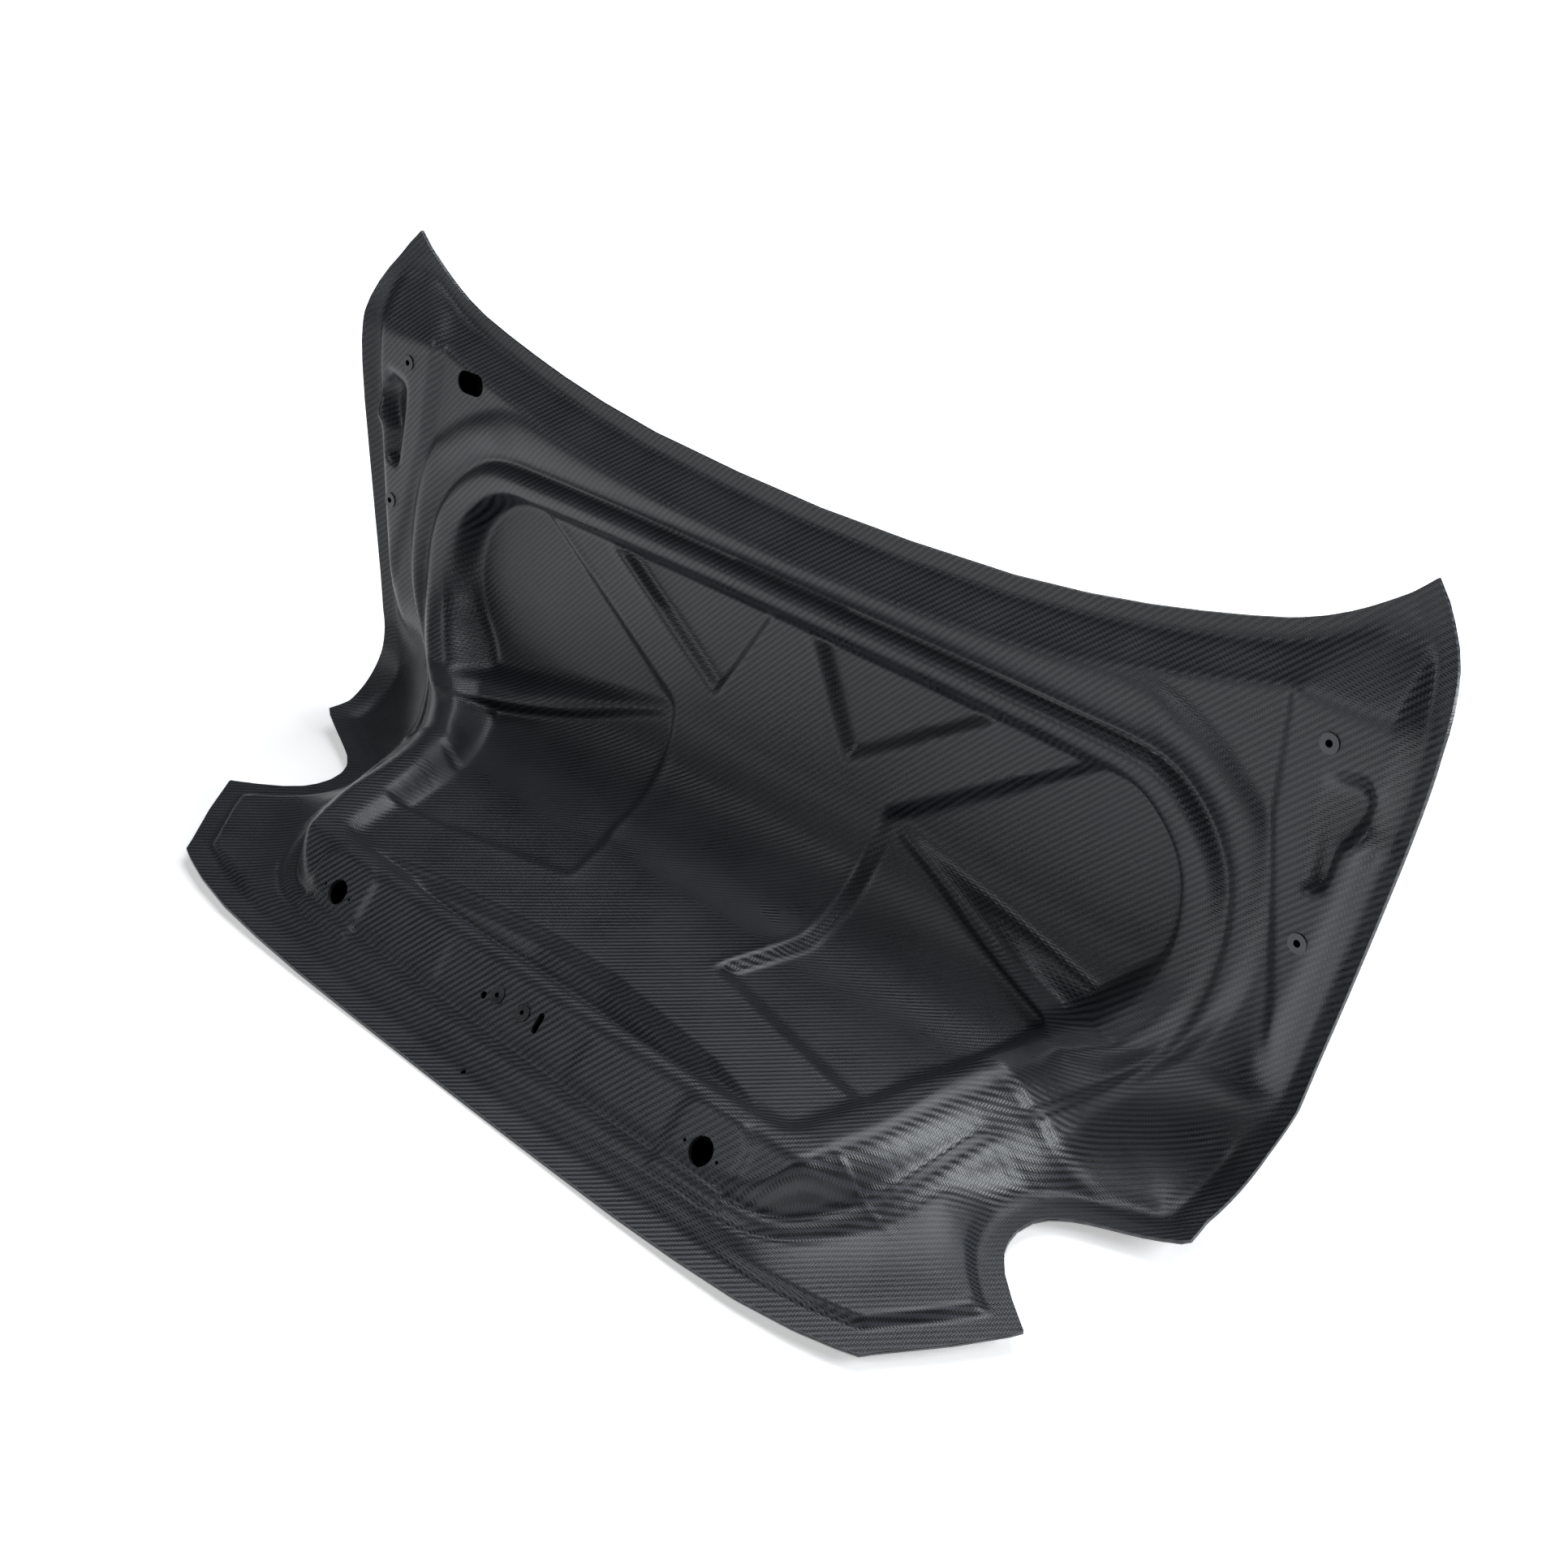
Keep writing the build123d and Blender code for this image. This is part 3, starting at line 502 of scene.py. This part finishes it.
# ---- materials ----
class Nodes:
    """Short names for building a node material."""

    def __init__(self, name):
        self.material = bpy.data.materials.new(name)
        self.material.use_nodes = True
        self.tree = self.material.node_tree
        self.shader = self.tree.nodes["Principled BSDF"]

    def add(self, kind, **settings):
        node = self.tree.nodes.new(kind)
        for key, value in settings.items():
            setattr(node, key, value)
        return node

    def put(self, socket, value):
        if isinstance(value, bpy.types.NodeSocket):
            self.tree.links.new(value, socket)
        else:
            socket.default_value = value

    def maths(self, operation, *values):
        node = self.add("ShaderNodeMath", operation=operation)
        for socket, value in zip(node.inputs, values):
            self.put(socket, value)
        return node.outputs[0]

    def spread(self, value, low, high, to_low, to_high):
        node = self.add("ShaderNodeMapRange")
        for socket, entry in zip(node.inputs, (value, low, high, to_low, to_high)):
            self.put(socket, entry)
        return node.outputs[0]

    def noise(self, vector, scale, detail=3.0):
        node = self.add("ShaderNodeTexNoise")
        self.put(node.inputs["Vector"], vector)
        node.inputs["Scale"].default_value = scale
        node.inputs["Detail"].default_value = detail
        return node.outputs["Fac"]

    def mix(self, factor, first, second):
        node = self.add("ShaderNodeMix", data_type="RGBA")
        self.put(node.inputs[0], factor)
        self.put(node.inputs[6], first)
        self.put(node.inputs[7], second)
        return node.outputs[2]

    def bump(self, height, distance, strength=1.0, normal=None):
        node = self.add("ShaderNodeBump")
        node.inputs["Strength"].default_value = strength
        node.inputs["Distance"].default_value = distance
        self.put(node.inputs["Height"], height)
        if normal is not None:
            self.put(node.inputs["Normal"], normal)
        return node.outputs["Normal"]


def twill(name, dark, light, tow, roughness, coat):
    """Two-by-two twill cloth under resin, woven in the sheet's own developed layout."""
    n = Nodes(name)
    place = n.add("ShaderNodeUVMap", uv_map="Weave").outputs[0]
    wander = n.add("ShaderNodeTexNoise")
    n.put(wander.inputs["Vector"], place)
    wander.inputs["Scale"].default_value = 5.0
    wander.inputs["Detail"].default_value = 0.0
    pull = n.add("ShaderNodeVectorMath", operation="SCALE")
    n.put(pull.inputs[0], wander.outputs["Color"])
    pull.inputs["Scale"].default_value = 0.002
    shifted = n.add("ShaderNodeVectorMath", operation="ADD")
    n.put(shifted.inputs[0], place)
    n.put(shifted.inputs[1], pull.outputs[0])
    parts = n.add("ShaderNodeSeparateXYZ")
    n.put(parts.inputs[0], shifted.outputs[0])
    across = n.maths("DIVIDE", parts.outputs[0], tow)
    along = n.maths("DIVIDE", parts.outputs[1], tow)
    column, row = n.maths("FLOOR", across), n.maths("FLOOR", along)
    step = n.maths("FLOORED_MODULO", n.maths("ADD", column, row), 4.0)
    warp_up = n.maths("LESS_THAN", step, 2.0)
    fx = n.maths("SUBTRACT", n.maths("FRACT", across), 0.5)
    fy = n.maths("SUBTRACT", n.maths("FRACT", along), 0.5)
    # a tow is round across its width
    warp = n.maths("SUBTRACT", 1.0, n.maths("MULTIPLY", n.maths("MULTIPLY", fx, fx), 3.2))
    weft = n.maths("SUBTRACT", 1.0, n.maths("MULTIPLY", n.maths("MULTIPLY", fy, fy), 3.2))
    height = n.maths("ADD", n.maths("MULTIPLY", warp, warp_up),
                     n.maths("MULTIPLY", weft, n.maths("SUBTRACT", 1.0, warp_up)))
    # fibres run along their tow
    fibre = n.add("ShaderNodeCombineXYZ")
    pick = n.maths("MULTIPLY", warp_up, 7.0)
    n.put(fibre.inputs[0], n.maths("MULTIPLY", across, n.maths("ADD", 0.6, pick)))
    n.put(fibre.inputs[1], n.maths("MULTIPLY", along, n.maths("SUBTRACT", 7.6, pick)))
    strand = n.noise(fibre.outputs[0], 1.0, 2.0)
    cloud = n.noise(place, 14.0)
    # Base colour: the tows that lie along get a painted sheen over the near-black carbon, and each tow's rounded
    # crown gets a painted highlight; the strand and cloud noise add random tone.
    sheen_and_tone = n.maths("ADD", n.maths("MULTIPLY", warp_up, 0.55), n.maths("MULTIPLY", height, 0.25))
    sheen_and_tone = n.maths("ADD", sheen_and_tone, n.maths("MULTIPLY", n.maths("SUBTRACT", strand, 0.5), 0.5))
    sheen_and_tone = n.maths("ADD", sheen_and_tone, n.maths("MULTIPLY", n.maths("SUBTRACT", cloud, 0.5), 0.4))
    n.put(n.shader.inputs["Base Color"], n.mix(sheen_and_tone, (*dark, 1), (*light, 1)))
    n.put(n.shader.inputs["Roughness"], n.spread(n.maths("ADD", cloud, n.maths("MULTIPLY", warp_up, 0.3)),
                                                 0.3, 1.0, roughness - 0.05, roughness + 0.09))
    n.shader.inputs["Metallic"].default_value = 0.0
    n.shader.inputs["Specular IOR Level"].default_value = 0.5
    n.shader.inputs["Coat Weight"].default_value = coat
    n.shader.inputs["Coat Roughness"].default_value = 0.28
    waves = n.noise(place, 40.0, 2.0)
    soft = n.bump(waves, 0.0006, 0.35)
    relief = n.maths("ADD", height, n.maths("MULTIPLY", strand, 0.35))
    n.put(n.shader.inputs["Normal"], n.bump(relief, 0.00016, 1.0, soft))
    return n.material


def steel(name, colour, roughness, scale):
    """Brushed or turned steel with fine scratches and a few dull spots."""
    n = Nodes(name)
    place = n.add("ShaderNodeTexCoord").outputs["Object"]
    stretched = n.add("ShaderNodeMapping")
    n.put(stretched.inputs["Vector"], place)
    stretched.inputs["Scale"].default_value = (scale, scale * 0.08, scale)
    scratch = n.noise(stretched.outputs[0], 1.0, 4.0)
    stain = n.noise(place, 60.0)
    n.put(n.shader.inputs["Base Color"], n.mix(stain, (*[c * 0.72 for c in colour], 1), (*colour, 1)))
    n.shader.inputs["Metallic"].default_value = 1.0
    n.put(n.shader.inputs["Roughness"],
          n.spread(n.maths("ADD", scratch, stain), 0.6, 1.4, roughness - 0.1, roughness + 0.12))
    n.put(n.shader.inputs["Normal"], n.bump(scratch, 0.00004, 0.6))
    return n.material


def plain_floor():
    n = Nodes("studio_floor")
    place = n.add("ShaderNodeTexCoord").outputs["Object"]
    n.put(n.shader.inputs["Base Color"],
          n.mix(n.noise(place, 3.0), (0.93, 0.93, 0.93, 1), (0.95, 0.95, 0.95, 1)))
    n.shader.inputs["Roughness"].default_value = 0.8
    n.shader.inputs["Specular IOR Level"].default_value = 0.1
    n.shader.inputs["Emission Color"].default_value = (1, 1, 1, 1)
    reach = n.add("ShaderNodeVectorMath", operation="LENGTH")
    n.put(reach.inputs[0], place)
    n.put(n.shader.inputs["Emission Strength"], n.spread(reach.outputs["Value"], 0.9, 2.2, 0.42, 1.0))
    n.put(n.shader.inputs["Normal"], n.bump(n.noise(place, 300.0), 0.0001, 0.1))
    return n.material


def dress(piece, material):
    """One material over the whole piece."""
    piece.data.materials.clear()
    piece.data.materials.append(material)


# ---- settings ----
class LidSettings(bpy.types.PropertyGroup):
    panel_wall: FloatProperty(name="Panel wall",
        description="Wall of the pressed inner panel",
        default=0.0016, min=0.0008, max=0.0024, unit="LENGTH")
    skin_wall: FloatProperty(name="Skin wall",
        description="Wall of the outer skin",
        default=0.002, min=0.001, max=0.0022, unit="LENGTH")
    tow: FloatProperty(name="Tow",
        description="Width of one tow of the cloth",
        default=0.002, min=0.001, max=0.004, unit="LENGTH")
    # The two tow colours paint the fibres' sheen: the light tows carry a painted sheen, and the dark tows keep the
    # carbon's own near-black.
    dark: FloatVectorProperty(name="Dark tows",
        description="Colour of the tows that lie across",
        subtype="COLOR", default=(0.002, 0.0023, 0.0028), min=0, max=1)
    light: FloatVectorProperty(name="Light tows",
        description="Colour of the tows that lie along",
        subtype="COLOR", default=(0.043, 0.047, 0.055), min=0, max=1)
    # The inserts' colour is darkened to paint the shade inside the holes they sit in.
    shaded_insert_colour: FloatVectorProperty(name="Inserts",
        description="Colour of the steel inserts",
        subtype="COLOR", default=(0.09, 0.092, 0.097), min=0, max=1)
    light_power: FloatProperty(name="Light",
        description="Power of the main softbox in watts",
        default=40.0, min=0, max=400)


def settings():
    return bpy.context.scene.boot_lid


# ---- operators ----
class LID_OT_panel(bpy.types.Operator):
    """Presses the inner panel in two mirror-image halves that meet on the centre line"""
    bl_idname = "lid.panel"
    bl_label = "Inner panel"

    def execute(self, context):
        set_up = settings()
        material = twill("carbon_inner_satin", set_up.dark, set_up.light, set_up.tow, 0.31, 0.1)
        _, latch = mount("latch_bolts")
        rows = spaced([(0, 76, 2.1), (76, 170, 3.0), (170, 640, 4.8), (640, 851, 2.8)])
        for side, name in ((-1, "left"), (1, "right")):
            half = spaced([(0.0, 0.5, 0.0058), (0.5, 1.0, 0.005)])
            columns = half if side > 0 else -half[::-1]

            def place(x, s):
                return lay(x, s, softened(pressing(x, s)))

            piece = grid_object("pressed_panel_" + name, columns, rows, place)
            thicken(piece, set_up.panel_wall / MM)
            dress(piece, material)
            hinge = insert_places("hinge_inserts_" + name, "hinge_bolts_" + name)
            bores = [(m, INSERT_BORE, INSERT_BORE, 16) for m in hinge]
            own = [m for m in insert_places("latch_inserts", "latch_bolts") if m.translation.x * side > 0]
            bores += [(m, INSERT_BORE, INSERT_BORE, 16) for m in own]
            if side > 0:
                across = latch @ Matrix.Translation((0.042, 0, 0)) @ Matrix.Rotation(math.pi / 2, 4, "Z")
                bores.append((across, LATCH_SLOT, LATCH_WIDTH, 16))
            else:
                bores.append((latch @ Matrix.Translation((-0.036, -0.008, 0)), LATCH_WIDTH, LATCH_WIDTH, 16))
            _, stop = mount("stop_screws_" + name)
            bores.append((stop, STOP_BORE, STOP_BORE, 20))
            bores.append((surface_matrix(0, 826, 5), DRAIN_BORE, DRAIN_BORE, 8))
            for x in (-SCREW_OFFSET * MM, SCREW_OFFSET * MM):
                bores.append((stop @ Matrix.Translation((x, 0, 0)), SCREW_BORE, SCREW_BORE, 20))
            if side < 0:
                bores.append((surface_matrix(-516, 2, 20), 44, 26, 30))
            bored(piece, bores)
            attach(piece, "root")
            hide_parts("inner_panel")
        return {"FINISHED"}


class LID_OT_skin(bpy.types.Operator):
    """Lays up the outer skin under the panel"""
    bl_idname = "lid.skin"
    bl_label = "Outer skin"

    def execute(self, context):
        set_up = settings()
        columns = spaced([(-1.0, 1.0, 0.0125)])
        rows = spaced([(0, 76, 5), (76, 320, 10), (320, 640, 6), (640, 851, 10)])
        piece = grid_object("outer_shell", columns, rows, lambda x, s: lay_skin(x, s, np.full(x.shape, 2.0)))
        thicken(piece, set_up.skin_wall / MM)
        dress(piece, twill("carbon_outer_gloss", set_up.dark, set_up.light, set_up.tow, 0.3, 0.5))
        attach(piece, "root")
        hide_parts("outer_skin", "perimeter_bond", "mastic_spots")
        return {"FINISHED"}


class LID_OT_fittings(bpy.types.Operator):
    """Adds the hinge doublers and finishes the CAD plates and inserts"""
    bl_idname = "lid.fittings"
    bl_label = "Plates and inserts"

    def execute(self, context):
        # Plate steel: its dark colour paints the shade in the holes through which the plates show.
        plate = steel("plate_steel", (0.16, 0.165, 0.17), 0.42, 900.0)
        # Insert steel: its dark colour paints the shade inside the bores.
        shaded_insert_steel = steel("insert_steel", settings().shaded_insert_colour, 0.3, 1400.0)
        for name in ("left", "right"):
            _, middle = mount("hinge_bolts_" + name)
            ends = insert_places("hinge_inserts_" + name, "hinge_bolts_" + name)
            z = middle.to_3x3().col[2]
            places = []
            for end in ends:
                depth = (middle.translation - end.translation).dot(z)
                at = end.translation + z * (depth - 0.003)
                places.append(axis_matrix(at, z, ends[1].translation - ends[0].translation))
            piece = doubler("hinge_doubler_" + name, places, 24, 22, 2.0, 6.4)
            dress(piece, plate)
            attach(piece, "root")
            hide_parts("hinge_plate_" + name)
        for name, node in frame["nodes"].items():
            if name.startswith(("stop_plate", "latch_plate", "hinge_plate")):
                finish = plate
            elif "inserts" in name:
                finish = shaded_insert_steel
            else:
                continue
            for slot in node.material_slots:
                slot.material = finish
        return {"FINISHED"}


class LID_OT_stage(bpy.types.Operator):
    """Camera, pale floor and soft studio light"""
    bl_idname = "lid.stage"
    bl_label = "Stage"

    def execute(self, context):
        scene = context.scene
        shell = bmesh.new()
        bmesh.ops.create_grid(shell, x_segments=2, y_segments=2, size=12.0)
        mesh = bpy.data.meshes.new("floor")
        shell.to_mesh(mesh)
        shell.free()
        floor = bpy.data.objects.new("floor", mesh)
        scene.collection.objects.link(floor)
        dress(floor, plain_floor())

        lens = bpy.data.cameras.new("camera")
        lens.sensor_width = 36.0
        lens.lens = 43.8
        camera = bpy.data.objects.new("camera", lens)
        scene.collection.objects.link(camera)
        right, up = (0.71274, 0.70143, 0.0), (-0.37677, 0.38285, 0.84349)
        forward = (-0.59165, 0.60119, -0.53715)
        turn = Matrix((right, up, [-c for c in forward])).transposed().to_4x4()
        camera.matrix_world = Matrix.Translation((1.2178, -1.0307, 1.2413)) @ turn
        scene.camera = camera

        world = bpy.data.worlds.new("studio")
        world.use_nodes = True
        tree = world.node_tree
        seen = tree.nodes.new("ShaderNodeLightPath").outputs["Is Camera Ray"]
        strength = tree.nodes.new("ShaderNodeMapRange")
        tree.links.new(seen, strength.inputs["Value"])
        strength.inputs["To Min"].default_value = 0.07
        strength.inputs["To Max"].default_value = 1.0
        tree.nodes["Background"].inputs[0].default_value = (1, 1, 1, 1)
        tree.links.new(strength.outputs[0], tree.nodes["Background"].inputs[1])
        scene.world = world

        def softbox(name, place, target, width, depth, power, colour=(1, 1, 1)):
            lamp = bpy.data.lights.new(name, "AREA")
            lamp.shape = "RECTANGLE"
            lamp.size, lamp.size_y = width, depth
            lamp.energy = power
            lamp.color = colour
            body = bpy.data.objects.new(name, lamp)
            body.location = place
            body.rotation_euler = (Vector(target) - Vector(place)).to_track_quat("-Z", "Y").to_euler()
            scene.collection.objects.link(body)

        power = settings().light_power
        softbox("top_box", (0.1, 0.9, 2.5), (0, 0, 0.1), 2.0, 1.2, power * 1.15, (0.93, 0.97, 1.0))
        softbox("front_box", (-0.9, -2.4, 2.1), (0, 0, 0.1), 1.4, 0.8, power * 0.35, (0.97, 0.98, 1.0))
        softbox("right_box", (2.3, 0.7, 1.3), (0.2, 0, 0.2), 1.1, 0.9, power * 1.1, (0.93, 0.97, 1.0))
        softbox("strip", (0.3, 1.9, 2.0), (0.1, 0, 0.1), 2.4, 0.22, power * 0.8, (0.9, 0.95, 1.0))
        scene.view_settings.view_transform = "Standard"
        scene.view_settings.look = "None"
        return {"FINISHED"}


class LID_PT_panel(bpy.types.Panel):
    bl_label = "Boot lid"
    bl_idname = "LID_PT_panel"
    bl_space_type = "VIEW_3D"
    bl_region_type = "UI"
    bl_category = "Boot lid"

    def draw(self, context):
        for name in ("panel_wall", "skin_wall", "tow", "dark", "light", "shaded_insert_colour", "light_power"):
            self.layout.prop(context.scene.boot_lid, name)
        for step in STEPS:
            self.layout.operator(step.bl_idname)


STEPS = (LID_OT_panel, LID_OT_skin, LID_OT_fittings, LID_OT_stage)
CLASSES = (LidSettings,) + STEPS + (LID_PT_panel,)


def register():
    for entry in CLASSES:
        bpy.utils.register_class(entry)
    bpy.types.Scene.boot_lid = PointerProperty(type=LidSettings)


def unregister():
    del bpy.types.Scene.boot_lid
    for entry in reversed(CLASSES):
        bpy.utils.unregister_class(entry)


def main():
    register()
    bpy.ops.lid.panel()
    bpy.ops.lid.skin()
    bpy.ops.lid.fittings()
    bpy.ops.lid.stage()


if __name__ == "__main__":
    main()
